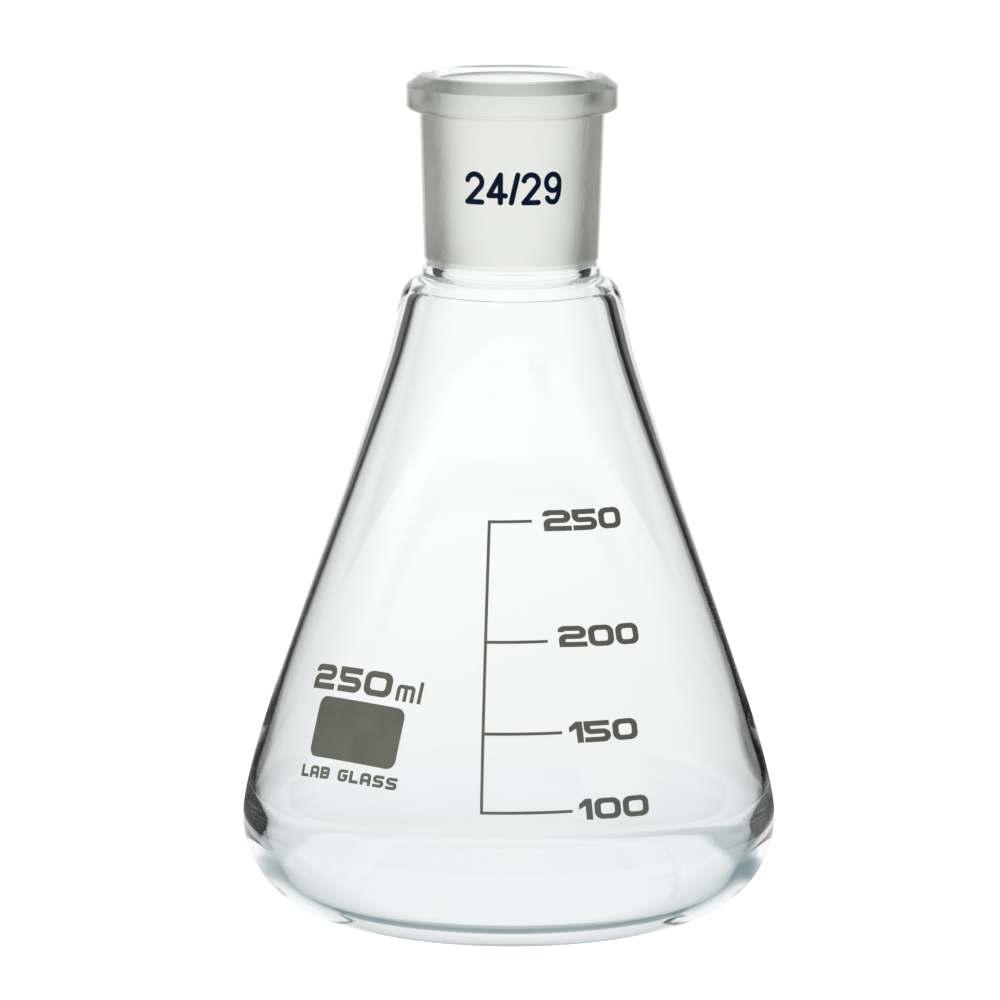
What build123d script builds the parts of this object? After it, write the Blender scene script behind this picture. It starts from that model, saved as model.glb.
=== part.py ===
from build123d import *
import math
import os

# Conical (Erlenmeyer) flask, 250 ml, with a 24/29 standard-taper ground socket.
# Millimetres, +Z up. The origin is on the flask's axis, in the plane it stands on.
# -Y is the side that carries the volume scale. Azimuths are in degrees from -Y towards +X.
# Profile points are (r, z); points of a print are (arc length round the flask, height).

os.makedirs("parts", exist_ok=True)

# ---------------------------------------------------------------- glass dimensions
BODY_R = 42.5            # greatest outer radius of the body
HEEL_R = 14.8            # outer heel radius
TOTAL_H = 133.5          # height to the rim of the socket
REST_RING_IN = 24.5      # inner radius of the ring the flask stands on
BASE_PUSH = 1.0          # how far the middle of the base is pushed up
BASE_T = 2.1             # glass thickness of the base at its middle

# underside of the base from the middle out, with a faint ring at 7 to 9 mm: (r, z)
UNDERSIDE = [(0.0, BASE_PUSH), (4.8, 0.95), (7.0, 0.83), (9.4, 0.62), (14.0, 0.45),
             (20.0, 0.22), (REST_RING_IN, 0.0)]
# outer wall from the heel up to the foot of the shoulder: (r, z)
OUTER_WALL = [(41.93, 19.5), (40.51, 25.4), (38.15, 33.2), (34.87, 43.0), (30.93, 54.7),
              (26.92, 66.4), (23.13, 78.2), (19.50, 89.9), (17.72, 97.0)]
# shoulder, from the wall up to the crease under the seal: (r, z)
SHOULDER = [OUTER_WALL[-1], (17.22, 98.9), (16.62, 100.05), (15.55, 101.0), (14.30, 101.42),
            (13.98, 101.5)]
# inner wall from the shoulder down, the inner heel, and the floor inwards: (r, z)
INNER_WALL = [(15.32, 97.0), (17.13, 89.9), (20.99, 78.2), (25.21, 66.4), (29.45, 54.7),
              (33.66, 43.0), (36.98, 33.2), (39.27, 25.4), (40.58, 20.0)]
INNER_HEEL = [(40.6, 15.5), (38.85, 9.2), (35.1, 4.75), (29.4, 2.75), (23.0, 2.2)]
INNER_FLOOR = [INNER_HEEL[-1], (20.0, 2.35), (12.0, 2.8), (6.0, 3.05),
               (0.0, BASE_PUSH + BASE_T)]

SEAL_Z = 102.4           # plane in which the body and the socket are fused
SEAL_OUT = (14.08, SEAL_Z)       # on the bead that the fusion leaves
SEAL_IN = (10.95, SEAL_Z)
BEAD_LOW = (14.13, 101.85)
# inside of the shoulder, from the seal down to the inner wall: (r, z)
INNER_SHOULDER = [SEAL_IN, (11.1, 101.75), (12.0, 101.05), (13.5, 100.65), (14.6, 100.0),
                  (15.1, 98.9), INNER_WALL[0]]

# directions (r, z) that neighbouring splines share where they meet
WALL_END_DIR = (-0.27, 1.0)
INNER_TOP_DIR = (0.24, -1)
INNER_HEEL_DIR = (-0.08, -1)

# ground socket 24/29: 24 mm wide end, 29 mm ground length, taper 1 in 10 on diameter
GROUND_WIDE_R = 12.0
GROUND_LEN = 29.0
TAPER = 0.05             # radius lost per mm of depth
MOUTH_CHAMFER = 0.9
GROUND_TOP_Z = TOTAL_H - MOUTH_CHAMFER
GROUND_BOT_Z = GROUND_TOP_Z - GROUND_LEN
GROUND_NARROW_R = GROUND_WIDE_R - GROUND_LEN * TAPER

COLLAR_R = 16.64
COLLAR_Z0, COLLAR_Z1 = 127.9, 132.0
COLLAR_ROUND = 0.9       # rounding of the collar's lower edge
COLLAR_CHAMFER = 0.3     # chamfer of the collar's upper edge
ROOT_FILLET = 0.5        # between the tube and the collar's underside
LIP_R = 14.5             # outer edge of the rim, where the collar's bevel ends
LIP_CHAMFER_R, LIP_CHAMFER_Z = 0.22, 0.12

TUBE_BOT_Z, TUBE_BOT_R = 104.7, 13.79
TUBE_TOP_Z, TUBE_TOP_R = COLLAR_Z0 - ROOT_FILLET, 14.52
TUBE_SLOPE = (TUBE_TOP_R - TUBE_BOT_R) / (TUBE_TOP_Z - TUBE_BOT_Z)
# outside of the neck from the seal's bead, over the pinch, to the tube: (r, z)
NECK = [SEAL_OUT, (SEAL_OUT[0] - 0.13, 103.0), (13.62, 103.75), (TUBE_BOT_R, TUBE_BOT_Z)]

# ---------------------------------------------------------------- profile helpers


def point(r, z):
    return Vector(r, 0, z)


def lines(*points):
    """Straight edges from each point to the next."""
    return [Edge.make_line(point(*a), point(*b)) for a, b in zip(points, points[1:])]


def spline(points, start_dir, end_dir):
    """Smooth edge through the points, with the given directions at its ends."""
    return Edge.make_spline([point(*q) for q in points],
                            tangents=[point(*start_dir).normalized(),
                                      point(*end_dir).normalized()])


def arc(start, middle, end):
    return Edge.make_three_point_arc(point(*start), point(*middle), point(*end))


def quarter(start, corner, end):
    """Quarter circle from start to end that rounds off a right-angled corner."""
    inset = 1 - math.cos(math.radians(45))
    return arc(start, [c + inset * (s + e - 2 * c) for s, c, e in zip(start, corner, end)], end)


def revolve_profile(edges):
    """Turn a closed outline in the XZ plane once round the Z axis."""
    return revolve(Face(Wire(edges)), axis=Axis.Z, revolution_arc=360)


# ---------------------------------------------------------------- glass body
heel_foot = (BODY_R - HEEL_R, 0.0)
heel_top = (BODY_R, HEEL_R)
# from the middle of the underside to the foot of the shoulder
outer_low = [
    spline(UNDERSIDE, (1, 0), (1, -0.05)),
    *lines(UNDERSIDE[-1], heel_foot),
    quarter(heel_foot, (BODY_R, 0.0), heel_top),
    spline([heel_top] + OUTER_WALL, (0, 1), WALL_END_DIR),
]
flask_body = revolve_profile([
    *outer_low,
    spline(SHOULDER, WALL_END_DIR, (-1.0, 0.12)),
    arc(SHOULDER[-1], BEAD_LOW, SEAL_OUT),
    *lines(SEAL_OUT, SEAL_IN),
    spline(INNER_SHOULDER, (0, -1), INNER_TOP_DIR),
    spline(INNER_WALL + [INNER_HEEL[0]], INNER_TOP_DIR, INNER_HEEL_DIR),
    spline(INNER_HEEL, INNER_HEEL_DIR, (-1, -0.03)),
    spline(INNER_FLOOR, (-1, 0.03), (-1, 0)),
    *lines(INNER_FLOOR[-1], UNDERSIDE[0]),
])

# ---------------------------------------------------------------- ground socket
tube_bottom = (TUBE_BOT_R, TUBE_BOT_Z)
tube_top = (TUBE_TOP_R, TUBE_TOP_Z)
root_end = (TUBE_TOP_R + ROOT_FILLET, COLLAR_Z0)
round_start = (COLLAR_R - COLLAR_ROUND, COLLAR_Z0)
round_end = (COLLAR_R, COLLAR_Z0 + COLLAR_ROUND)
ground_bottom = (GROUND_NARROW_R, GROUND_BOT_Z)
ground_socket = revolve_profile([
    spline(NECK, (0, 1), (0.02, 1)),
    *lines(tube_bottom, tube_top),
    quarter(tube_top, (TUBE_TOP_R, COLLAR_Z0), root_end),
    *lines(root_end, round_start),
    quarter(round_start, (COLLAR_R, COLLAR_Z0), round_end),
    *lines(round_end,
           (COLLAR_R, COLLAR_Z1 - COLLAR_CHAMFER),
           (COLLAR_R - COLLAR_CHAMFER, COLLAR_Z1),
           (LIP_R, TOTAL_H - LIP_CHAMFER_Z),
           (LIP_R - LIP_CHAMFER_R, TOTAL_H),
           (GROUND_WIDE_R + MOUTH_CHAMFER, TOTAL_H),
           (GROUND_WIDE_R, GROUND_TOP_Z),
           ground_bottom),
    spline([ground_bottom, (10.68, 103.1), SEAL_IN], (0.05, -1), (0.0, -1)),
    *lines(SEAL_IN, SEAL_OUT),
])

# ---------------------------------------------------------------- enamel layers
# The enamel is a thin skin on the outside of the glass. One turned layer is made for the
# cone and one for the tube, and each print is the part of a layer inside a straight prism.
ENAMEL_T = 0.10          # thickness of the fired enamel
BLANK_DEPTH = 4.0        # how far the cone's blank reaches inwards before the core is cut
TUBE_BLANK_R = 11.0      # inner radius of the tube's blank
TUBE_BLANK_Z0, TUBE_BLANK_Z1 = 108.0, 125.0


def unit(start, end):
    """Unit vector from start to end."""
    x, y = end[0] - start[0], end[1] - start[1]
    length = math.hypot(x, y)
    return x / length, y / length


def cone_r(z):
    """Outer radius of the cone at height z, by straight lines between its knots."""
    for (r0, z0), (r1, z1) in zip(OUTER_WALL, OUTER_WALL[1:]):
        if z0 <= z <= z1:
            return r0 + (r1 - r0) * (z - z0) / (z1 - z0)


def tube_r(z):
    return TUBE_BOT_R + TUBE_SLOPE * (z - TUBE_BOT_Z)


def offset_wall(points, distance):
    """The wall's points moved outwards along its normal."""
    moved = []
    for i, (r, z) in enumerate(points):
        along_r, along_z = unit(points[max(i - 1, 0)], points[min(i + 1, len(points) - 1)])
        moved.append((r + distance * along_z, z - distance * along_r))
    return moved


def make_cone_layer():
    wall_top = OUTER_WALL[-1]
    core = revolve_profile(outer_low + lines(wall_top, (0.0, wall_top[1]), UNDERSIDE[0]))
    outer = offset_wall(OUTER_WALL, ENAMEL_T)
    inner = [(r - BLANK_DEPTH, z) for r, z in reversed(outer)]
    blank = revolve_profile([
        *lines(inner[-1], outer[0]),
        Edge.make_spline([point(*q) for q in outer]),
        *lines(outer[-1], inner[0]),
        Edge.make_spline([point(*q) for q in inner]),
    ])
    return blank - core


def make_tube_layer():
    core = revolve_profile(lines((0.0, TUBE_BOT_Z), tube_bottom, tube_top,
                                 (0.0, TUBE_TOP_Z), (0.0, TUBE_BOT_Z)))
    inner_foot = (TUBE_BLANK_R, TUBE_BLANK_Z0)
    blank = revolve_profile(lines(inner_foot,
                                  (tube_r(TUBE_BLANK_Z0) + ENAMEL_T, TUBE_BLANK_Z0),
                                  (tube_r(TUBE_BLANK_Z1) + ENAMEL_T, TUBE_BLANK_Z1),
                                  (TUBE_BLANK_R, TUBE_BLANK_Z1),
                                  inner_foot))
    return blank - core


cone_layer = make_cone_layer()
tube_layer = make_tube_layer()

# ---------------------------------------------------------------- outlines
# An outline is a closed polygon in millimetres; a shape is (outline, [holes]).


def box(x0, y0, x1, y1):
    return [(x0, y0), (x1, y0), (x1, y1), (x0, y1)]


def subdivide(polygon, step=0.6):
    """The closed polygon with its sides split into pieces no longer than step."""
    points = []
    for i, (x0, y0) in enumerate(polygon):
        x1, y1 = polygon[(i + 1) % len(polygon)]
        count = max(1, math.ceil(math.hypot(x1 - x0, y1 - y0) / step))
        for j in range(count):
            points.append((x0 + (x1 - x0) * j / count, y0 + (y1 - y0) * j / count))
    return points


def rounded(points, radii):
    """Polyline with its corners turned into sampled arcs; a radius of 0 keeps the point."""
    result = []
    for i, (corner, radius) in enumerate(zip(points, radii)):
        if radius <= 0:
            result.append(corner)
            continue
        x, y = corner
        back_x, back_y = unit(corner, points[i - 1])
        ahead_x, ahead_y = unit(corner, points[(i + 1) % len(points)])
        half = math.acos(max(-1, min(1, back_x * ahead_x + back_y * ahead_y))) / 2
        setback = radius / math.tan(half)
        mid_x, mid_y = unit((0, 0), (back_x + ahead_x, back_y + ahead_y))
        centre_x = x + mid_x * radius / math.sin(half)
        centre_y = y + mid_y * radius / math.sin(half)
        start = math.atan2(y + back_y * setback - centre_y, x + back_x * setback - centre_x)
        end = math.atan2(y + ahead_y * setback - centre_y, x + ahead_x * setback - centre_x)
        sweep = (end - start + math.pi) % (2 * math.pi) - math.pi
        count = max(2, int(abs(math.degrees(sweep)) / 15) + 1)
        for j in range(count + 1):
            angle = start + sweep * j / count
            result.append((centre_x + radius * math.cos(angle),
                           centre_y + radius * math.sin(angle)))
    return result


def round_cap(centre, start, radius):
    """Points of the clockwise half circle that begins at start, without its ends."""
    angle = math.atan2(start[1] - centre[1], start[0] - centre[0])
    return [(centre[0] + radius * math.cos(angle - math.pi * j / 10),
             centre[1] + radius * math.sin(angle - math.pi * j / 10)) for j in range(1, 10)]


def thick(path, width, round_caps=False):
    """Outline of a stroke along a path whose corners are no tighter than half its width."""
    left, right = [], []
    steps = [unit(a, b) for a, b in zip(path, path[1:])]
    for i, (x, y) in enumerate(path):
        arriving = steps[max(i - 1, 0)]
        leaving = steps[min(i, len(steps) - 1)]
        along_x, along_y = unit((0, 0), (arriving[0] + leaving[0], arriving[1] + leaving[1]))
        # the mitre reaches further out at a bend, up to twice the half width
        reach = width / 2 / max(0.5, along_x * arriving[0] + along_y * arriving[1])
        left.append((x - along_y * reach, y + along_x * reach))
        right.append((x + along_y * reach, y - along_x * reach))
    if not round_caps:
        return left + right[::-1]
    return (left + round_cap(path[-1], left[-1], width / 2)
            + right[::-1] + round_cap(path[0], right[0], width / 2))


def wide_char(char, width, height, stroke, stretch):
    """Shapes of one angular character, with its lower left corner at 0, 0.

    It is drawn narrow with one stroke width and then stretched across, which makes its
    upright strokes stretch * stroke thick."""
    w, h, t = width / stretch, height, stroke
    half = t / 2
    left, right, low, high, mid = half, w - half, half, h - half, h / 2
    bend = min(t * 0.85, (high - mid) * 0.48)
    if char == "0":
        shapes = [(rounded(box(0, 0, w, h), [t * 1.35] * 4),
                   [rounded(box(t, t, w - t, h - t), [t * 0.55] * 4)])]
    elif char == "1":
        shapes = [([(w - t, 0), (w, 0), (w, h), (w - t, h), (0, h * 0.74), (0, h * 0.50),
                    (w - t, h * 0.68)], [])]
    elif char == "2":
        path = rounded([(left, high - t * 0.72), (left, high), (right, high), (right, mid),
                        (left, mid), (left, 0)],
                       [0, bend * 0.75, bend, bend, bend, 0])
        shapes = [(thick(path, t), []), (box(0, 0, w, t), [])]
    elif char == "5":
        path = rounded([(left, h), (left, mid), (right, mid), (right, low), (0, low)],
                       [0, bend * 0.8, bend, bend, 0])
        shapes = [(thick(path, t), []), (box(0, h - t, w * 0.97, h), [])]
    elif char == "L":
        shapes = [([(0, 0), (w, 0), (w, t), (t, t), (t, h), (0, h)], [])]
    elif char == "A":
        path = rounded([(left, 0), (left, high), (right, high), (right, 0)],
                       [0, bend, bend, 0])
        shapes = [(thick(path, t), []), (box(left, h * 0.26, right, h * 0.26 + t), [])]
    elif char == "B":
        gap = (h - 3 * t) / 2
        shapes = [(rounded(box(0, 0, w, h), [0, t, t, 0]),
                   [box(t, t, w - t, t + gap), box(t, 2 * t + gap, w - t, h - t)])]
    elif char == "G":
        path = rounded([(w, high), (left, high), (left, low), (right, low),
                        (right, mid + half * 0.2)],
                       [0, bend, bend, bend, 0])
        shapes = [(thick(path, t), []), (box(w * 0.5, mid - half, w, mid + half), [])]
    elif char == "S":
        path = rounded([(w, high), (left, high), (left, mid), (right, mid), (right, low),
                        (0, low)],
                       [0, bend, bend, bend, bend, 0])
        shapes = [(thick(path, t), [])]
    elif char == "m":
        pitch = (w - t) / 2
        first = rounded([(left, 0), (left, high), (left + pitch, high), (left + pitch, 0)],
                        [0, t * 0.7, t * 0.7, 0])
        second = rounded([(left + pitch * 0.6, high), (right, high), (right, 0)],
                         [0, t * 0.7, 0])
        shapes = [(thick(first, t), []), (thick(second, t), [])]
    elif char == "l":
        shapes = [(box(0, 0, w, h), [])]
    else:
        raise ValueError(char)
    return transform(shapes, lambda polygon: [(x * stretch, y) for x, y in polygon])


def ellipse_arc(centre, radius_x, radius_y, start, end, count):
    """Points of an elliptical arc between two angles in degrees."""
    angles = [math.radians(start + (end - start) * j / count) for j in range(count + 1)]
    return [(centre[0] + radius_x * math.cos(a), centre[1] + radius_y * math.sin(a))
            for a in angles]


def bezier(controls, count):
    """Points of the cubic curve with four control points."""
    points = []
    for j in range(count + 1):
        s = j / count
        weights = ((1 - s) ** 3, 3 * s * (1 - s) ** 2, 3 * s * s * (1 - s), s ** 3)
        points.append(tuple(sum(k * c[axis] for k, c in zip(weights, controls))
                            for axis in (0, 1)))
    return points


def round_char(char, w, h, stroke):
    """Shapes of one round-ended character; w and h are the size of its centre lines."""
    if char == "2":
        radius = w / 2
        paths = [ellipse_arc((radius, h - radius), radius, radius, 168, -38, 18) + [(0.06, 0.02)],
                 [(0.0, 0.0), (w, 0.0)]]
    elif char == "4":
        stem, bar = w * 0.70, h * 0.25
        paths = [[(stem, 0.0), (stem, h)], [(stem, h), (0.0, bar)], [(0.0, bar), (w, bar)]]
    elif char == "/":
        paths = [[(0.0, 0.0), (w, h)]]
    elif char == "9":
        radius_x, radius_y = w / 2, h * 0.295
        centre = (radius_x, h - radius_y)
        outer, inner = [ellipse_arc(centre, radius_x + d, radius_y + d, 0, 360, 32)[:-1]
                        for d in (stroke / 2, -stroke / 2)]
        tail = bezier([(w, h - radius_y), (w, h * 0.30), (w * 0.88, 0.0), (w * 0.52, 0.0)], 12)
        tail += bezier([(w * 0.52, 0.0), (w * 0.30, 0.0), (w * 0.14, h * 0.05),
                        (w * 0.08, h * 0.15)], 6)[1:]
        return [(outer, [inner]), (thick(tail, stroke, True), [])]
    else:
        raise ValueError(char)
    return [(thick(path, stroke, True), []) for path in paths]


# ---------------------------------------------------------------- printing helpers
PRISM_LEN = 60.0         # from the plane through the axis to well outside the glass


def transform(shapes, move):
    """Apply move to every outline and hole."""
    return [(move(outline), [move(hole) for hole in holes]) for outline, holes in shapes]


def place(shapes, arc_x, z):
    """Move shapes so that their origin is at arc_x and height z."""
    return transform(shapes, lambda polygon: [(arc_x + x, z + y) for x, y in polygon])


def bowed(shapes, centre=0.0, bow=0.0, tilt=0.0):
    """Shapes whose lines bend down by bow * (x - centre)^2, as a straight print does when
    the flat screen is rolled on a cone, and slope by tilt."""
    return transform(shapes, lambda polygon: [
        (x, z - bow * (x - centre) ** 2 + tilt * (x - centre)) for x, z in subdivide(polygon)])


def print_on(layer, radius_at, azimuth, shapes):
    """The part of a layer under the shapes, whose arc lengths start at the azimuth."""
    angle = math.radians(azimuth)
    plane = Plane(origin=(0, 0, 0), x_dir=(math.cos(angle), math.sin(angle), 0),
                  z_dir=(math.sin(angle), -math.cos(angle), 0))

    def flat(polygon):
        points = []
        for x, z in subdivide(polygon):
            r = radius_at(z)
            points.append(plane.from_local_coords(Vector(r * math.sin(x / r), z, 0)))
        return Wire.make_polygon(points, close=True)

    solids = []
    for outline, holes in shapes:
        face = Face(flat(outline), [flat(hole) for hole in holes])
        solids.append(extrude(face, amount=PRISM_LEN, dir=plane.z_dir))
    prism = solids[0]
    for solid in solids[1:]:
        prism = prism + solid
    return layer & prism


def print_wide(char, azimuth, left, z, width, height, stroke, stretch, **bend):
    """One angular character on the cone; bend holds the arguments of bowed."""
    shapes = place(wide_char(char, width, height, stroke, stretch), left, z)
    return print_on(cone_layer, cone_r, azimuth, bowed(shapes, **bend))


def collect(prints):
    return Compound(children=[solid for item in prints for solid in item.solids()])


# ---------------------------------------------------------------- volume scale
# one upright line, which leans a little, and four ticks
BAR_AZ_HIGH, BAR_AZ_LOW = -6.9, -5.9
BAR_W = 0.47
TICK_W = 0.43
TICK_RISE = 0.12         # the ticks' free ends are this much higher
SCALE_AZ = 2.0           # azimuth that the scale's prisms are drawn from
# (height, azimuth at which the tick ends), from the top down
TICKS = [(66.75, 7.2), (48.95, 10.3), (35.45, 12.6), (23.80, 13.9)]


def scale_arc(azimuth, z):
    return cone_r(z) * math.radians(azimuth - SCALE_AZ)


def bar_arc(z):
    """Arc position of the upright line's middle at height z."""
    low, high = TICKS[-1][0], TICKS[0][0]
    return scale_arc(BAR_AZ_LOW + (BAR_AZ_HIGH - BAR_AZ_LOW) * (z - low) / (high - low), z)


def make_scale():
    bottom = TICKS[-1][0] - TICK_W / 2
    top = TICKS[0][0] + TICK_W / 2
    heights = [bottom + (top - bottom) * j / 40 for j in range(41)]
    bar = ([(bar_arc(z) - BAR_W / 2, z) for z in heights]
           + [(bar_arc(z) + BAR_W / 2, z) for z in reversed(heights)])
    shapes = [(bar, [])]
    for z, end_azimuth in TICKS:
        start, end = bar_arc(z) - BAR_W / 4, scale_arc(end_azimuth, z)
        shapes.append(([(start, z - TICK_W / 2), (end, z - TICK_W / 2 + TICK_RISE),
                        (end, z + TICK_W / 2 + TICK_RISE), (start, z + TICK_W / 2)], []))
    return print_on(cone_layer, cone_r, SCALE_AZ, shapes)


# ---------------------------------------------------------------- numerals of the scale
NUMERAL_STYLE = dict(height=3.12, stroke=0.74, stretch=1.36)
# text: (azimuth, height of the foot, tilt, (left, right) arc of each character)
NUMERALS = {
    "250": (25.5, 65.20, -0.020, [(-6.80, -2.36), (-2.06, 2.06), (2.44, 6.55)]),
    "200": (25.6, 47.95, -0.029, [(-6.98, -2.48), (-2.12, 2.18), (2.60, 6.74)]),
    "150": (23.1, 33.92, -0.010, [(-5.70, -3.55), (-3.30, 1.02), (1.42, 5.75)]),
    "100": (23.7, 22.48, -0.012, [(-5.92, -3.85), (-3.45, 0.88), (1.30, 5.78)]),
}


def make_numeral(text):
    azimuth, z, tilt, spans = NUMERALS[text]
    return collect([print_wide(char, azimuth, left, z, right - left, tilt=tilt, **NUMERAL_STYLE)
                    for char, (left, right) in zip(text, spans)])


# ---------------------------------------------------------------- block left of the scale
BLOCK_BOW = 0.0042       # r * 0.5 / slant distance to the cone's apex

# capacity legend: digits and a small unit
CAPACITY_AZ, CAPACITY_Z = -39.6, 39.70
CAPACITY_BEND = dict(centre=1.5, bow=BLOCK_BOW)
# (character, left, right, height, stroke, stretch, drop below CAPACITY_Z)
CAPACITY_CHARS = [
    ("2", -11.40, -6.24, 3.70, 0.92, 1.20, 0.0),
    ("5", -5.30, -0.48, 3.70, 0.92, 1.20, 0.0),
    ("0", 0.20, 5.42, 3.70, 0.92, 1.20, 0.0),
    ("m", 6.48, 9.60, 2.45, 0.56, 1.0, 0.10),
    ("l", 10.28, 10.82, 3.25, 0.55, 1.0, 0.08),
]

# writing patch
PANEL_AZ, PANEL_W = -39.5, 17.4
PANEL_Z0, PANEL_Z1 = 29.52, 38.62
PANEL_CORNER_R = 1.45

# line that names the material
GLASS_TEXT = "LAB GLASS"
GLASS_AZ, GLASS_LEFT, GLASS_Z = -39.5, -9.75, 26.50
GLASS_STYLE = dict(height=1.80, stroke=0.44, stretch=1.18, centre=2.0, bow=BLOCK_BOW)
L_WIDTH, LETTER_WIDTH = 1.70, 1.90
LETTER_GAP, SPACE_WIDTH = 0.46, 1.45


def make_capacity():
    return collect([
        print_wide(char, CAPACITY_AZ, left, CAPACITY_Z - drop, right - left, height, stroke,
                   stretch, **CAPACITY_BEND)
        for char, left, right, height, stroke, stretch, drop in CAPACITY_CHARS])


def make_panel():
    outline = rounded(box(-PANEL_W / 2, PANEL_Z0, PANEL_W / 2, PANEL_Z1), [PANEL_CORNER_R] * 4)
    return print_on(cone_layer, cone_r, PANEL_AZ, bowed([(outline, [])], bow=BLOCK_BOW))


def make_glass_legend():
    prints = []
    left = GLASS_LEFT
    for char in GLASS_TEXT:
        if char == " ":
            left += SPACE_WIDTH
            continue
        width = L_WIDTH if char == "L" else LETTER_WIDTH
        prints.append(print_wide(char, GLASS_AZ, left, GLASS_Z, width, **GLASS_STYLE))
        left += width + LETTER_GAP
    return collect(prints)


# ---------------------------------------------------------------- joint size on the socket
JOINT_AZ, JOINT_Z = 0.4, 114.85
JOINT_H, JOINT_STROKE = 4.35, 0.84
# (character, left, width), both of the centre lines
JOINT_CHARS = [("2", -7.28, 2.45), ("4", -3.70, 2.62), ("/", -0.16, 1.00),
               ("2", 1.80, 2.30), ("9", 5.42, 2.25)]


def make_joint_legend():
    return collect([
        print_on(tube_layer, tube_r, JOINT_AZ,
                 place(round_char(char, width, JOINT_H, JOINT_STROKE), left, JOINT_Z))
        for char, left, width in JOINT_CHARS])


# ---------------------------------------------------------------- export
nodes = {
    "flask_body": flask_body,
    "ground_socket": ground_socket,
    "scale_bracket": make_scale(),
    **{"numeral_" + text: make_numeral(text) for text in NUMERALS},
    "capacity_legend": make_capacity(),
    "marking_panel": make_panel(),
    "glass_legend": make_glass_legend(),
    "joint_size_legend": make_joint_legend(),
}
for name, shape in nodes.items():
    export_step(shape, os.path.join("parts", name + ".step"))
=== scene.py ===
# A conical glass flask with a ground socket on its neck and enamel prints on its wall.
# It stands upright on the Z axis; the camera looks at it from the -Y side.
# Outlines are in millimetres, everything else is in metres.
import math

import bmesh
import bpy
from mathutils import Matrix, Vector


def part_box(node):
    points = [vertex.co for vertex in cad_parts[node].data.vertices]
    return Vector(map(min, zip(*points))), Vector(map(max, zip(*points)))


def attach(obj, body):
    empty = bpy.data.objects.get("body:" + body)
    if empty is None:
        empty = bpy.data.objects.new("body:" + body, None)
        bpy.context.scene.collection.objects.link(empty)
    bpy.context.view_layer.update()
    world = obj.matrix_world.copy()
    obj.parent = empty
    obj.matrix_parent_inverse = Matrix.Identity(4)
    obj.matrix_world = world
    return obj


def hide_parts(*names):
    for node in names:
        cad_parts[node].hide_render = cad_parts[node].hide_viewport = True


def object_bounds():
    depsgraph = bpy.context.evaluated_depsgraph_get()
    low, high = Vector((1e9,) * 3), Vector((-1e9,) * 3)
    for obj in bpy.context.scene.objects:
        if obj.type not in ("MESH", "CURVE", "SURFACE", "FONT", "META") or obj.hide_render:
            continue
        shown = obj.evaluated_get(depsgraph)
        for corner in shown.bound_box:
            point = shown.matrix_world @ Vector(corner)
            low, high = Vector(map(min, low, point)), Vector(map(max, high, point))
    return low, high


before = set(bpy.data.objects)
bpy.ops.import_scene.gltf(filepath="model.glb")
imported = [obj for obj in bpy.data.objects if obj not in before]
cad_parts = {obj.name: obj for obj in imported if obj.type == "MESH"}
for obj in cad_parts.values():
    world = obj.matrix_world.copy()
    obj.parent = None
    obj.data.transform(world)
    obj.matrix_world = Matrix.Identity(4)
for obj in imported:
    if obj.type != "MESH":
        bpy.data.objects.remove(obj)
CAD_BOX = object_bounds()
FOOT_Z = CAD_BOX[0][2]
HEIGHT = CAD_BOX[1][2] - FOOT_Z
MM = 0.001

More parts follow.
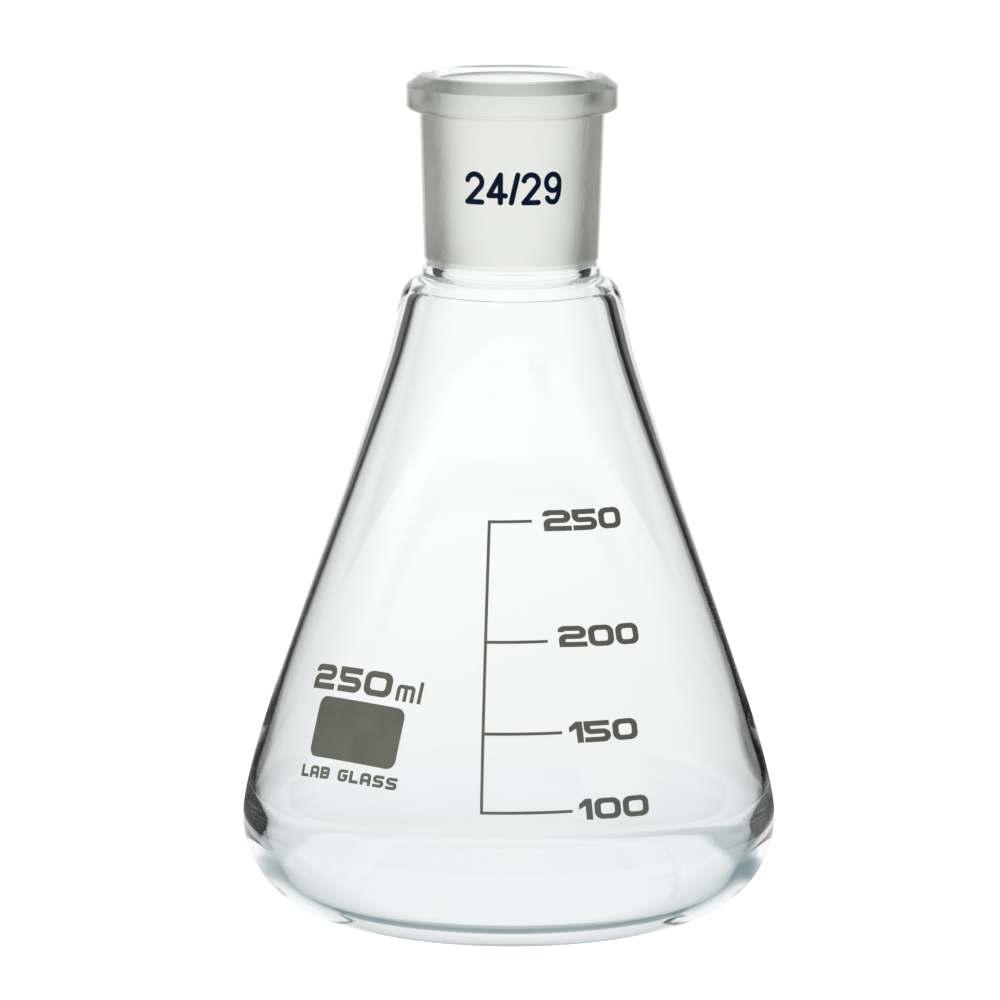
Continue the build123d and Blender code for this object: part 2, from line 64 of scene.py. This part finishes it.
# ------------------------------------------------------------------ outlines
# Each part is a run of (radius, height) points in mm. The parts follow one another
# around the section of the glass; the body's run begins and ends on the axis.
BODY = {
    "base": [
        (0, 1), (1.5047, 0.9994), (3.0094, 0.9898), (4.5138, 0.9592), (5.8668, 0.9039),
        (6.9179, 0.8364), (8.4168, 0.704), (9.6164, 0.6044), (10.668, 0.5448),
        (12.1718, 0.4932), (13.6761, 0.4579), (15.1802, 0.4161), (16.684, 0.3632),
        (18.1874, 0.3018), (19.6906, 0.2344), (21.1937, 0.1633), (22.6966, 0.0898),
        (24.1994, 0.015), (24.5, 0)],
    "rest": [(24.5, 0), (27.7, 0)],
    "heel": [
        (27.7, 0), (28.3037, 0.0123), (28.9063, 0.0492), (29.507, 0.1107), (30.1046, 0.1967),
        (30.6983, 0.3069), (31.287, 0.4412), (31.8696, 0.5995), (32.4454, 0.7814),
        (33.0132, 0.9866), (33.5722, 1.2148), (34.1215, 1.4657), (34.66, 1.7387),
        (35.187, 2.0334), (35.7015, 2.3494), (36.2027, 2.6862), (36.6897, 3.0431),
        (37.1618, 3.4195), (37.6181, 3.8149), (38.0579, 4.2286), (38.4805, 4.6599),
        (38.8851, 5.1081), (39.2711, 5.5724), (39.6379, 6.052), (39.9847, 6.5462),
        (40.3112, 7.0542), (40.6166, 7.575), (40.9006, 8.1079), (41.1626, 8.6519),
        (41.4021, 9.2061), (41.6189, 9.7696), (41.8125, 10.3416), (41.9826, 10.9209),
        (42.1289, 11.5067), (42.2513, 12.098), (42.3494, 12.6937), (42.4231, 13.293),
        (42.4723, 13.8948), (42.4969, 14.4981), (42.5, 14.8)],
    "cone": [
        (42.5, 14.8), (42.4892, 15.4001), (42.4461, 16.149), (42.3722, 16.8955),
        (42.2711, 17.6389), (42.1208, 18.5265), (41.8879, 19.704), (41.5689, 21.1701),
        (41.2253, 22.6307), (40.8593, 24.0858), (40.473, 25.5357), (40.0681, 26.9805),
        (39.6467, 28.4205), (39.2111, 29.8564), (38.7635, 31.2885), (38.3063, 32.7176),
        (37.8417, 34.1443), (37.3715, 35.5692), (36.8968, 36.9926), (36.419, 38.4149),
        (35.9391, 39.8366), (35.4584, 41.258), (34.9781, 42.6795), (34.4993, 44.1015),
        (34.0218, 45.5239), (33.5451, 46.9467), (33.0685, 48.3694), (32.5913, 49.792),
        (32.1129, 51.2141), (31.6326, 52.6356), (31.1498, 54.0563), (30.664, 55.4759),
        (30.1755, 56.8946), (29.6853, 58.3128), (29.1947, 59.7307), (28.7048, 61.149),
        (28.2168, 62.5678), (27.7319, 63.9878), (27.2513, 65.4092), (26.7765, 66.8325),
        (26.308, 68.258), (25.8449, 69.6852), (25.3861, 71.1138), (24.9301, 72.5433),
        (24.4756, 73.9732), (24.0215, 75.4033), (23.5666, 76.8332), (23.11, 78.2625),
        (22.6515, 79.6912), (22.1924, 81.1196), (21.7342, 82.5484), (21.2786, 83.978),
        (20.8275, 85.4091), (20.3839, 86.8425), (19.953, 88.2797), (19.5852, 89.5791),
        (19.3615, 90.4511), (19.0212, 91.9124), (18.6687, 93.3709), (18.2977, 94.8247),
        (17.9147, 96.2755), (17.72, 97)],
    "shoulder": [
        (17.72, 97), (17.5077, 97.8839), (17.3575, 98.471), (17.2186, 98.9037),
        (17.107, 99.1854), (16.9784, 99.4597), (16.8325, 99.7252), (16.6691, 99.9804),
        (16.4881, 100.223), (16.2882, 100.451), (16.0677, 100.659), (15.8259, 100.841),
        (15.564, 100.993), (15.286, 101.113), (14.9991, 101.211), (14.4175, 101.381),
        (14.1292, 101.474), (13.98, 101.5)],
    "bead": [
        (13.98, 101.5), (14.0668, 101.654), (14.1236, 101.821), (14.1485, 101.996),
        (14.1407, 102.173), (14.1004, 102.345), (14.08, 102.4)],
    "seal": [(14.08, 102.4), (10.95, 102.4)],
    "neck_in": [
        (10.95, 102.4), (10.9759, 102.098), (11.0688, 101.809), (11.2381, 101.558),
        (11.4617, 101.354), (11.7162, 101.188), (11.9889, 101.055), (12.273, 100.947),
        (12.5642, 100.861), (13.1564, 100.726), (13.6007, 100.625), (13.891, 100.536),
        (14.1649, 100.406), (14.4065, 100.223), (14.6048, 99.9933), (14.7633, 99.7345),
        (14.8967, 99.4616), (15.0119, 99.1806), (15.0942, 98.906), (14.961, 99.1789),
        (14.8795, 99.0811), (14.9539, 98.6324), (15.1457, 97.7421), (15.32, 97)],
    "wall_in": [
        (15.32, 97), (15.6719, 95.5399), (16.0295, 94.0811), (16.3972, 92.6249),
        (16.7791, 91.1724), (17.1797, 89.7249), (17.6015, 88.2834), (18.0428, 86.8478),
        (18.5008, 85.4174), (18.9728, 83.9915), (19.4561, 82.5695), (19.9482, 81.1505),
        (20.4464, 79.7336), (20.9481, 78.3179), (21.451, 76.9027), (21.9546, 75.4877),
        (22.4589, 74.073), (22.9639, 72.6585), (23.4698, 71.2443), (23.9765, 69.8304),
        (24.484, 68.4169), (24.9925, 67.0036), (25.5019, 65.5907), (26.0122, 64.1781),
        (26.5232, 62.7658), (27.0349, 61.3537), (27.547, 59.9418), (28.0594, 58.53),
        (28.572, 57.1182), (29.0846, 55.7065), (29.5971, 54.2947), (30.1093, 52.8828),
        (30.621, 51.4707), (31.1318, 50.0583), (31.6415, 48.6455), (32.1499, 47.2323),
        (32.6566, 45.8184), (33.1614, 44.4038), (33.6641, 42.9885), (34.1641, 41.5723),
        (34.6603, 40.1547), (35.1513, 38.7353), (35.6357, 37.3136), (36.1118, 35.8891),
        (36.5783, 34.4615), (37.0333, 33.0301), (37.4758, 31.5949), (37.9069, 30.1562),
        (38.3285, 28.7146), (38.7424, 27.2708), (39.1507, 25.8255), (39.5542, 24.3788),
        (39.9427, 22.928), (40.2296, 21.7612), (40.4212, 20.8807), (40.5572, 20.1422),
        (40.6433, 19.5476), (40.7012, 18.9497), (40.7281, 18.3496), (40.7283, 17.7489),
        (40.7016, 16.9984), (40.6234, 15.7995), (40.6, 15.5)],
    "heel_in": [
        (40.6, 15.5), (40.5248, 14.7514), (40.4183, 14.0067), (40.2795, 13.2673),
        (40.1448, 12.6807), (39.9889, 12.0993), (39.8119, 11.5241), (39.6139, 10.9557),
        (39.3954, 10.3949), (39.1569, 9.8423), (38.8318, 9.1639), (38.5505, 8.6318),
        (38.2491, 8.1108), (37.9259, 7.6031), (37.5792, 7.1111), (37.303, 6.7541),
        (37.0123, 6.4087), (36.7069, 6.0764), (36.3864, 5.7586), (36.0508, 5.4567),
        (35.7004, 5.1721), (35.3356, 4.9063), (34.957, 4.6606), (34.5662, 4.4347),
        (34.1653, 4.2272), (33.6184, 3.9759), (33.0604, 3.7506), (32.4936, 3.548),
        (31.7759, 3.3225), (31.0503, 3.1236), (30.1722, 2.9137), (29.1412, 2.6983),
        (28.401, 2.5634), (27.6563, 2.4569), (26.9078, 2.3809), (25.8569, 2.31),
        (24.3536, 2.2443), (23, 2.2)],
    "floor": [
        (23, 2.2), (21.6469, 2.2561), (20.1446, 2.3414), (18.6426, 2.4305),
        (17.1404, 2.518), (15.6381, 2.6034), (14.1356, 2.6865), (12.6331, 2.7669),
        (11.1303, 2.8444), (9.6274, 2.9169), (8.124, 2.981), (6.6202, 3.033),
        (5.1159, 3.069), (3.6113, 3.0892), (2.1066, 3.0978), (0.6019, 3.0999), (0, 3.1)],
}
SOCKET = {
    "throat": [
        (14.08, 102.4), (14.0507, 102.7), (13.9565, 102.986), (13.6868, 103.525),
        (13.6165, 103.816), (13.6801, 104.109), (13.7588, 104.4), (13.79, 104.7)],
    "tube": [(13.79, 104.7), (14.52, 127.4)],
    "root": [
        (14.52, 127.4), (14.5296, 127.498), (14.5581, 127.591), (14.6043, 127.678),
        (14.6664, 127.754), (14.7422, 127.816), (14.8287, 127.862), (14.9225, 127.89),
        (15.02, 127.9)],
    "under": [(15.02, 127.9), (15.74, 127.9)],
    "round": [
        (15.74, 127.9), (15.9156, 127.917), (16.0844, 127.969), (16.24, 128.052),
        (16.3764, 128.164), (16.4883, 128.3), (16.5715, 128.456), (16.6227, 128.624),
        (16.64, 128.8)],
    "side": [(16.64, 128.8), (16.64, 131.7)],
    "cham": [(16.64, 131.7), (16.34, 132)],
    "bevel": [(16.34, 132), (14.5, 133.38)],
    "lipcham": [(14.5, 133.38), (14.28, 133.5)],
    "rim": [(14.28, 133.5), (12.9, 133.5)],
    "mouth": [(12.9, 133.5), (12, 132.6)],
    "ground": [(12, 132.6), (10.55, 103.6)],
    "tail": [
        (10.55, 103.6), (10.5671, 103.441), (10.6041, 103.285), (10.6624, 103.135),
        (10.8606, 102.787), (10.9184, 102.638), (10.9467, 102.48), (10.95, 102.4)],
    "seal": [(10.95, 102.4), (14.08, 102.4)],
}


# ------------------------------------------------------------------ meshes
def fit_outline(outline, node_name):
    """The outline, moved so that its lowest and highest points are the CAD node's own."""
    heights = [z for points in outline.values() for _, z in points]
    low, high = min(heights), max(heights)
    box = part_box(node_name)
    bottom, top = box[0].z / MM, box[1].z / MM
    ratio = (top - bottom) / (high - low)
    if abs(ratio - 1) > 0.01:
        raise SystemExit(f"{node_name}: the outline doesn't fit the CAD node, ratio {ratio}")
    return {part: [(r, bottom + (z - low) * ratio) for r, z in points]
            for part, points in outline.items()}


def ring(bm, radius, z, count, unit=1.0):
    """A level circle of vertices about Z; unit is the length of one step of radius and z."""
    angles = [2 * math.pi * i / count for i in range(count)]
    return [bm.verts.new((radius * math.cos(a) * unit, radius * math.sin(a) * unit, z * unit))
            for a in angles]


def band(bm, first, second):
    """The faces between two rings, either of which may be a single point on the axis."""
    count = max(len(first), len(second))
    faces = []
    for i in range(count):
        j = (i + 1) % count
        if len(first) == 1:
            corners = (first[0], second[j], second[i])
        elif len(second) == 1:
            corners = (first[i], first[j], second[0])
        else:
            corners = (first[i], first[j], second[j], second[i])
        faces.append(bm.faces.new(corners))
    return faces


def mesh_object(name, bm):
    mesh = bpy.data.meshes.new(name)
    bm.to_mesh(mesh)
    bm.free()
    ob = bpy.data.objects.new(name, mesh)
    bpy.context.scene.collection.objects.link(ob)
    return ob


def lathe(name, outline, slots, segments=360, sharp_angle=32):
    """Turns an outline in mm about Z. slots maps a part to its material index."""
    bm = bmesh.new()
    rings = {}

    def ring_at(r, z):
        key = (round(r, 3), round(z, 3))  # parts that meet share one ring
        if key not in rings:
            if r < 1e-6:
                rings[key] = [bm.verts.new((0, 0, z * MM))]
            else:
                rings[key] = ring(bm, r, z, segments, unit=MM)
        return rings[key]

    for part, points in outline.items():
        for start, end in zip(points, points[1:]):
            first, second = ring_at(*start), ring_at(*end)
            if first is second:
                continue
            for face in band(bm, first, second):
                face.material_index = slots.get(part, 0)
                face.smooth = True
    bmesh.ops.recalc_face_normals(bm, faces=bm.faces[:])
    ob = mesh_object(name, bm)
    ob.data.set_sharp_from_angle(angle=math.radians(sharp_angle))
    return ob


# ------------------------------------------------------------------ shader nodes
class Graph:
    """The emptied node tree of a material or world, with short ways to add to it."""

    def __init__(self, owner):
        owner.use_nodes = True
        self.tree = owner.node_tree
        self.tree.nodes.clear()

    def feed(self, socket, source):
        """Links the source to the socket, or sets the socket if the source is a value."""
        if isinstance(source, bpy.types.NodeSocket):
            self.tree.links.new(source, socket)
        else:
            socket.default_value = source

    def add(self, kind, inputs=None, **settings):
        node = self.tree.nodes.new("ShaderNode" + kind)
        for setting, value in settings.items():
            setattr(node, setting, value)
        for key, source in (inputs or {}).items():
            self.feed(node.inputs[key], source)
        return node

    def math(self, operation, *terms):
        return self.add("Math", dict(enumerate(terms)), operation=operation).outputs[0]

    def smooth(self, x, low, high, start=0.0, end=1.0):
        """Eases from start to end while x goes from low to high."""
        return self.add("MapRange", {
            "Value": x, "From Min": low, "From Max": high, "To Min": start, "To Max": end,
        }, interpolation_type="SMOOTHSTEP").outputs["Result"]

    def noise(self, place, scale, detail=2.0):
        inputs = {"Vector": place, "Scale": scale, "Detail": detail}
        return self.add("TexNoise", inputs).outputs["Fac"]

    def bump(self, height, distance, strength):
        inputs = {"Height": height, "Distance": distance, "Strength": strength}
        return self.add("Bump", inputs).outputs["Normal"]

    def ramp(self, x, steps):
        """A colour ramp; steps is [(position, rgb), ...]."""
        node = self.add("ValToRGB", {"Fac": x})
        elements = node.color_ramp.elements
        while len(elements) < len(steps):
            elements.new(0.5)
        for element, (position, rgb) in zip(elements, steps):
            element.position = position
            element.color = (*rgb, 1)
        return node.outputs["Color"]

    def mix(self, data_type, factor, first, second):
        # the Mix node has separate sockets for each data type
        a, b, result = {"FLOAT": (2, 3, 0), "RGBA": (6, 7, 2)}[data_type]
        node = self.add("Mix", data_type=data_type)
        for index, source in ((0, factor), (a, first), (b, second)):
            self.feed(node.inputs[index], source)
        return node.outputs[result]

    def mix_shader(self, factor, first, second):
        return self.add("MixShader", {0: factor, 1: first, 2: second}).outputs[0]

    def camera_xz(self, vector):
        """How far a world vector goes to the camera's right, and away from the camera."""
        turn = self.add("VectorTransform", {0: vector}, vector_type="VECTOR",
                        convert_from="WORLD", convert_to="CAMERA")
        axes = self.add("SeparateXYZ", {0: turn.outputs[0]})
        return axes.outputs["X"], axes.outputs["Z"]

    def surface(self, shader):
        self.add("OutputMaterial", {"Surface": shader})


def new_material(name):
    material = bpy.data.materials.new(name)
    return material, Graph(material)


# ------------------------------------------------------------------ glass looks
GLASS_IOR = 1.473
ABSORPTION = (12.5, 5.4, 4.1)  # per metre, for red, green and blue
SHADOW_TINT = (0.92, 0.95, 0.94)
ROOT_SHADE_Z = (0.1035, 0.1125)  # the extra painted shade at the foot of the tube fades out here
# Painted shade on the outer face of the glass: its grey tint square on and edge on, and how much
# more the surface counts as turned away low down, which darkens the foot of the tube.
TUBE_PAINTED_SHADE = dict(front=(0.965, 0.945, 0.925), edge=(0.425, 0.400, 0.335), low=0.27)
BEVEL_PAINTED_SHADE = dict(front=(0.50, 0.50, 0.470), edge=(0.39, 0.39, 0.355), low=0.0)


def glass_material(name, tint=(1.0, 1.0, 1.0), roughness=0.0, spread=0.0, matt_bump=None,
                   shade_paint=None):
    """Glass that absorbs along the ray inside it and casts only a faint shadow.

    Noise varies a rough glass by spread either way; matt_bump is the depth of its grain.
    """
    material, graph = new_material(name)
    rays = graph.add("LightPath").outputs
    back = graph.add("NewGeometry").outputs["Backfacing"]
    glass = graph.add("BsdfPrincipled", {
        "Transmission Weight": 1.0, "IOR": GLASS_IOR, "Roughness": roughness})

    if roughness:
        place = graph.add("TexCoord").outputs["Object"]
        mottle = graph.noise(place, scale=420.0, detail=6.0)
        varied = graph.smooth(mottle, 0.3, 0.7, roughness - spread, roughness + spread)
        graph.feed(glass.inputs["Roughness"], varied)
    if matt_bump:
        grain = graph.noise(place, scale=2600.0, detail=3.0)
        normal = graph.bump(grain, distance=matt_bump, strength=1.0)
        graph.feed(glass.inputs["Normal"], normal)
    # Painted shade: the outer face is tinted darker where it turns away from the view and near
    # the foot of the tube.
    if shade_paint:
        facing = graph.add("LayerWeight", {"Blend": 0.5}).outputs["Facing"]
        z = graph.add("SeparateXYZ", {0: place}).outputs["Z"]
        turned = graph.math("ADD", facing, graph.smooth(z, *ROOT_SHADE_Z, shade_paint["low"], 0.0))
        outside = graph.math("SUBTRACT", 1.0, back)

    inside = graph.math("MULTIPLY", rays["Ray Length"], back)
    colour = graph.add("CombineColor")
    for i, absorbed in enumerate(ABSORPTION):
        channel = graph.math("POWER", math.exp(-absorbed), inside)
        channel = graph.math("MULTIPLY", channel, tint[i])
        # The painted shade multiplies each colour channel on the outer face only.
        if shade_paint:
            shade_loss = graph.smooth(turned, 0.10, 0.95, shade_paint["front"][i] - 1.0, shade_paint["edge"][i] - 1.0)
            shade_factor = graph.math("ADD", graph.math("MULTIPLY", shade_loss, outside), 1.0)
            channel = graph.math("MULTIPLY", channel, shade_factor)
        graph.feed(colour.inputs[i], channel)
    graph.feed(glass.inputs["Base Color"], colour.outputs[0])

    shadow = graph.add("BsdfTransparent", {"Color": (*SHADOW_TINT, 1)})
    graph.surface(graph.mix_shader(rays["Is Shadow Ray"], glass.outputs[0], shadow.outputs[0]))
    return material


def fused_material(name):
    """The plane in which the two glass pieces are melted together: no surface is there."""
    material, graph = new_material(name)
    graph.surface(graph.add("BsdfTransparent").outputs[0])
    return material


def enamel_material(name, low, high, roughness, specular):
    """Fired enamel: a satin film, mottled between two colours, with a fine orange peel."""
    material, graph = new_material(name)
    place = graph.add("TexCoord").outputs["Object"]
    coarse = graph.noise(place, scale=160.0, detail=4.0)
    fine = graph.noise(place, scale=2400.0, detail=5.0)
    mottle = graph.math("ADD", graph.math("MULTIPLY", coarse, 0.7),
                        graph.math("MULTIPLY", fine, 0.3))
    enamel = graph.add("BsdfPrincipled", {
        "Base Color": graph.ramp(mottle, [(0.36, low), (0.64, high)]),
        "Roughness": graph.smooth(fine, 0.3, 0.7, roughness - 0.07, roughness + 0.08),
        "Normal": graph.bump(fine, distance=0.00002, strength=0.6),
        "Specular IOR Level": specular})
    graph.surface(enamel.outputs[0])
    return material


WORKED = dict(roughness=0.17, spread=0.03)
CLEAR = glass_material("clear_glass_look")
POLISHED = glass_material("socket_glass_look")
MATT = glass_material("ground_matt_look", tint=(0.885, 0.885, 0.850), roughness=0.40,
                      spread=0.06, matt_bump=0.00002)
# The tube's outer faces carry painted shade: warm grey, darker edge on and near the foot of the
# tube.
MOULDED = glass_material("moulded_glass_painted_shade_look", shade_paint=TUBE_PAINTED_SHADE, **WORKED)
# The bevel and its chamfer carry painted shade: darker all over, most of all edge on.
BEVEL = glass_material("bevel_glass_painted_shade_look", shade_paint=BEVEL_PAINTED_SHADE, **WORKED)
FUSED = fused_material("fused_plane_look")
GREY = enamel_material("grey_enamel_look", low=(0.190, 0.195, 0.155),
                       high=(0.240, 0.245, 0.195), roughness=0.45, specular=0.4)
BLUE = enamel_material("blue_enamel_look", low=(0.001, 0.013, 0.045),
                       high=(0.006, 0.022, 0.068), roughness=0.42, specular=0.06)


# ------------------------------------------------------------------ the flask
def glass_piece(node_name, outline, looks):
    """looks is [(material, its parts), ...]; the first also covers parts not listed."""
    slots = {part: i for i, (_, parts) in enumerate(looks) for part in parts}
    piece = lathe(node_name + "_glass", fit_outline(outline, node_name), slots)
    for material, _ in looks:
        piece.data.materials.append(material)
    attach(piece, "root")
    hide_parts(node_name)


glass_piece("flask_body", BODY, [(CLEAR, ()), (FUSED, ("seal",))])
glass_piece("ground_socket", SOCKET, [
    (POLISHED, ()),
    (FUSED, ("seal",)),
    (MATT, ("ground",)),
    (MOULDED, ("tube", "side", "round", "under", "root")),
    (BEVEL, ("bevel", "cham")),
])

# every other CAD node is a print
for name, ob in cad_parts.items():
    if name in ("flask_body", "ground_socket"):
        continue
    enamel = BLUE if name == "joint_size_legend" else GREY
    if not ob.material_slots:
        ob.data.materials.append(enamel)
    for slot in ob.material_slots:
        slot.material = enamel

# ------------------------------------------------------------------ floor
TENT_RADIUS, TENT_TOP = 0.090, 0.215
FLOOR_RADIUS = 0.30
FLOOR_GLOW = 0.97  # added to the floor that the camera sees directly
# Painted shade: as the glass sees it, the floor is darker and a little cold near and under the
# flask, and lighter further out.
FLOOR_NEAR_SHADE, FLOOR_FAR = (0.855, 0.885, 0.880), (0.945, 0.960, 0.960)
FLOOR_NEAR_RADIUS = 0.042
# Painted contact shadow: a dark teal band on the floor round the camera's side of the heel, seen
# only through the glass.
CONTACT_SHADOW_TINT = (0.20, 0.285, 0.305)
CONTACT_SHADOW_SIDE, CONTACT_SHADOW_FRONT = 0.0435, 0.0265  # half axes of the oval that the painted contact shadow runs round
CONTACT_SHADOW_OUTER = 1.27  # where the painted contact shadow starts to fade, in ovals
CONTACT_SHADOW_LEAN = 0.40  # how much further round it reaches on the right


def floor_material():
    """Glowing white to the camera. To the glass it glows a little cold, with painted shade that
    darkens it near and under the flask.

    The glass also sees a painted contact shadow, a soft dark teal band on the camera's side of
    the heel, which draws the line along the heel.
    """
    material, graph = new_material("floor_look")
    place = graph.add("TexCoord").outputs["Object"]
    greys = [(0.0, (0.34,) * 3), (1.0, (0.38,) * 3)]
    matt = graph.add("BsdfDiffuse", {"Color": graph.ramp(graph.noise(place, 30.0), greys)})
    glow = graph.add("Emission", {"Color": (1, 1, 1, 1), "Strength": FLOOR_GLOW})
    seen = graph.add("AddShader", {0: matt.outputs[0], 1: glow.outputs[0]})

    # The painted contact shadow: an oval band round the heel on the camera's side, reaching
    # further round on the right.
    position = graph.add("NewGeometry").outputs["Position"]
    right, away = graph.camera_xz(position)
    across = graph.math("DIVIDE", right, CONTACT_SHADOW_SIDE)
    along = graph.math("DIVIDE", away, CONTACT_SHADOW_FRONT)
    oval = graph.math("SQRT", graph.math("ADD", graph.math("MULTIPLY", across, across),
                                         graph.math("MULTIPLY", along, along)))
    contact_shadow = graph.math("MINIMUM", graph.smooth(oval, 0.94, 1.06),
                       graph.smooth(oval, CONTACT_SHADOW_OUTER, CONTACT_SHADOW_OUTER + 0.12, 1.0, 0.0))
    lean = graph.math("MULTIPLY", graph.math("MAXIMUM", right, 0.0), CONTACT_SHADOW_LEAN)
    leaned = graph.math("SUBTRACT", away, lean)
    contact_shadow = graph.math("MULTIPLY", contact_shadow, graph.smooth(leaned, -0.022, 0.036, 1.0, 0.0))

    # Painted shade: the floor darkens towards the flask.
    reach = graph.add("VectorMath", {0: position}, operation="LENGTH").outputs["Value"]
    near_shaded = graph.mix("RGBA", graph.smooth(reach, FLOOR_NEAR_RADIUS, TENT_RADIUS),
                     (*FLOOR_NEAR_SHADE, 1), (*FLOOR_FAR, 1))
    seen_by_glass = graph.add("Emission", {
        "Color": graph.mix("RGBA", contact_shadow, near_shaded, (*CONTACT_SHADOW_TINT, 1)), "Strength": 1.0})
    camera_ray = graph.add("LightPath").outputs["Is Camera Ray"]
    graph.surface(graph.mix_shader(camera_ray, seen_by_glass.outputs[0], seen.outputs[0]))
    return material


bm = bmesh.new()
bm.faces.new(ring(bm, FLOOR_RADIUS, FOOT_Z - 0.0002, 128))
floor = mesh_object("floor", bm)
floor.data.materials.append(floor_material())

# ------------------------------------------------------------------ light tent
# Brightness across the back of the tent: (distance from the middle in radii, brightness)
LEFT_STEPS = [(0.0, 1.0), (0.42, 1.0), (0.56, 1.12), (0.62, 0.05), (0.68, 0.03), (0.75, 0.03),
              (1.0, 0.10)]
RIGHT_STEPS = [(0.0, 1.0), (0.42, 1.0), (0.525, 1.02), (0.575, 0.07), (0.64, 0.03),
               (0.75, 0.01), (1.0, 0.01)]
BACK_LIGHT, TOP_LIGHT, FRONT_LIGHT = 1.05, 0.42, 0.48
BACK_FOOT = 0.905  # share of the back light at floor level
BACK_FULL_Z = 0.075
TOP_FADE_Z = (0.165, 0.200)  # the top light comes in between these heights
FRONT_SLOPE = 0.40  # fall of the front light per radius towards the right


def tent_mesh():
    """A round tent that stands on the floor and closes over the object."""
    profile = [
        (TENT_RADIUS, FOOT_Z - 0.0001), (TENT_RADIUS, TENT_TOP - 0.03),
        (TENT_RADIUS * 0.92, TENT_TOP - 0.012), (TENT_RADIUS * 0.70, TENT_TOP - 0.003),
        (TENT_RADIUS * 0.35, TENT_TOP)]
    bm = bmesh.new()
    rings = [ring(bm, radius, z, 96) for radius, z in profile]
    for lower, upper in zip(rings, rings[1:]):
        band(bm, lower, upper)
    bm.faces.new(rings[-1])
    return mesh_object("light_tent", bm)


def tent_material():
    """A bright sheet behind the object, black to either side, a soft top and a dim front.

    It is laid out from the camera, which looks in through it.
    """
    material, graph = new_material("light_tent_look")
    position = graph.add("NewGeometry").outputs["Position"]
    world_axes = graph.add("SeparateXYZ", {0: position}).outputs
    height = world_axes["Z"]
    level = graph.add("CombineXYZ", {"X": world_axes["X"], "Y": world_axes["Y"]})
    right, away = graph.camera_xz(level.outputs[0])
    right = graph.math("DIVIDE", right, TENT_RADIUS)
    away = graph.math("DIVIDE", away, TENT_RADIUS)

    def sheet(x, steps):
        return graph.ramp(x, [(at, (brightness,) * 3) for at, brightness in steps])

    back = graph.math("MINIMUM", sheet(graph.math("MULTIPLY", right, -1.0), LEFT_STEPS),
                      sheet(right, RIGHT_STEPS))
    back = graph.math("MULTIPLY", back, graph.smooth(
        height, 0.0, BACK_FULL_Z, BACK_LIGHT * BACK_FOOT, BACK_LIGHT))
    slope = graph.math("SUBTRACT", 1.0, graph.math("MULTIPLY", right, FRONT_SLOPE))
    front = graph.math("MULTIPLY", slope, FRONT_LIGHT)
    walls = graph.mix("FLOAT", graph.smooth(away, 0.05, -0.35), back, front)
    top = graph.smooth(height, *TOP_FADE_Z, 0.0, TOP_LIGHT)
    light = graph.add("Emission", {"Strength": graph.math("MAXIMUM", walls, top)})
    unseen = graph.add("BsdfTransparent")
    camera_ray = graph.add("LightPath").outputs["Is Camera Ray"]
    graph.surface(graph.mix_shader(camera_ray, light.outputs[0], unseen.outputs[0]))
    return material


tent = tent_mesh()
tent.data.materials.append(tent_material())

# ------------------------------------------------------------------ world
# The studio outside the tent is plain white.
world = bpy.data.worlds.new("studio")
bpy.context.scene.world = world
graph = Graph(world)
white = graph.add("Background", {"Color": (1, 1, 1, 1), "Strength": 1.02})
graph.add("OutputWorld", {"Surface": white.outputs[0]})

# ------------------------------------------------------------------ camera
EYE = Vector((0.0, -1.0168, 0.2421))
AIM = Vector((0.0, 0.0, FOOT_Z + HEIGHT * 0.5))
ROLL = 0.27  # degrees

scene = bpy.context.scene
lens = bpy.data.cameras.new("camera")
lens.lens = 234.06
lens.sensor_width = 36.0
lens.shift_x = -0.0103
lens.shift_y = -0.0074
camera = bpy.data.objects.new("camera", lens)
scene.collection.objects.link(camera)
look = (AIM - EYE).to_track_quat("-Z", "Y").to_matrix().to_4x4()
camera.matrix_world = Matrix.Translation(EYE) @ look @ Matrix.Rotation(math.radians(ROLL), 4, "Z")
scene.camera = camera

# ------------------------------------------------------------------ render settings
scene.view_settings.view_transform = "Standard"
scene.view_settings.look = "None"
if hasattr(scene, "cycles"):  # absent when the Cycles add-on is off
    # light crosses many glass surfaces
    scene.cycles.max_bounces = 64
    scene.cycles.transmission_bounces = 64
    scene.cycles.glossy_bounces = 64
    scene.cycles.transparent_max_bounces = 32

# ------------------------------------------------------------------ final update
bpy.context.view_layer.update()
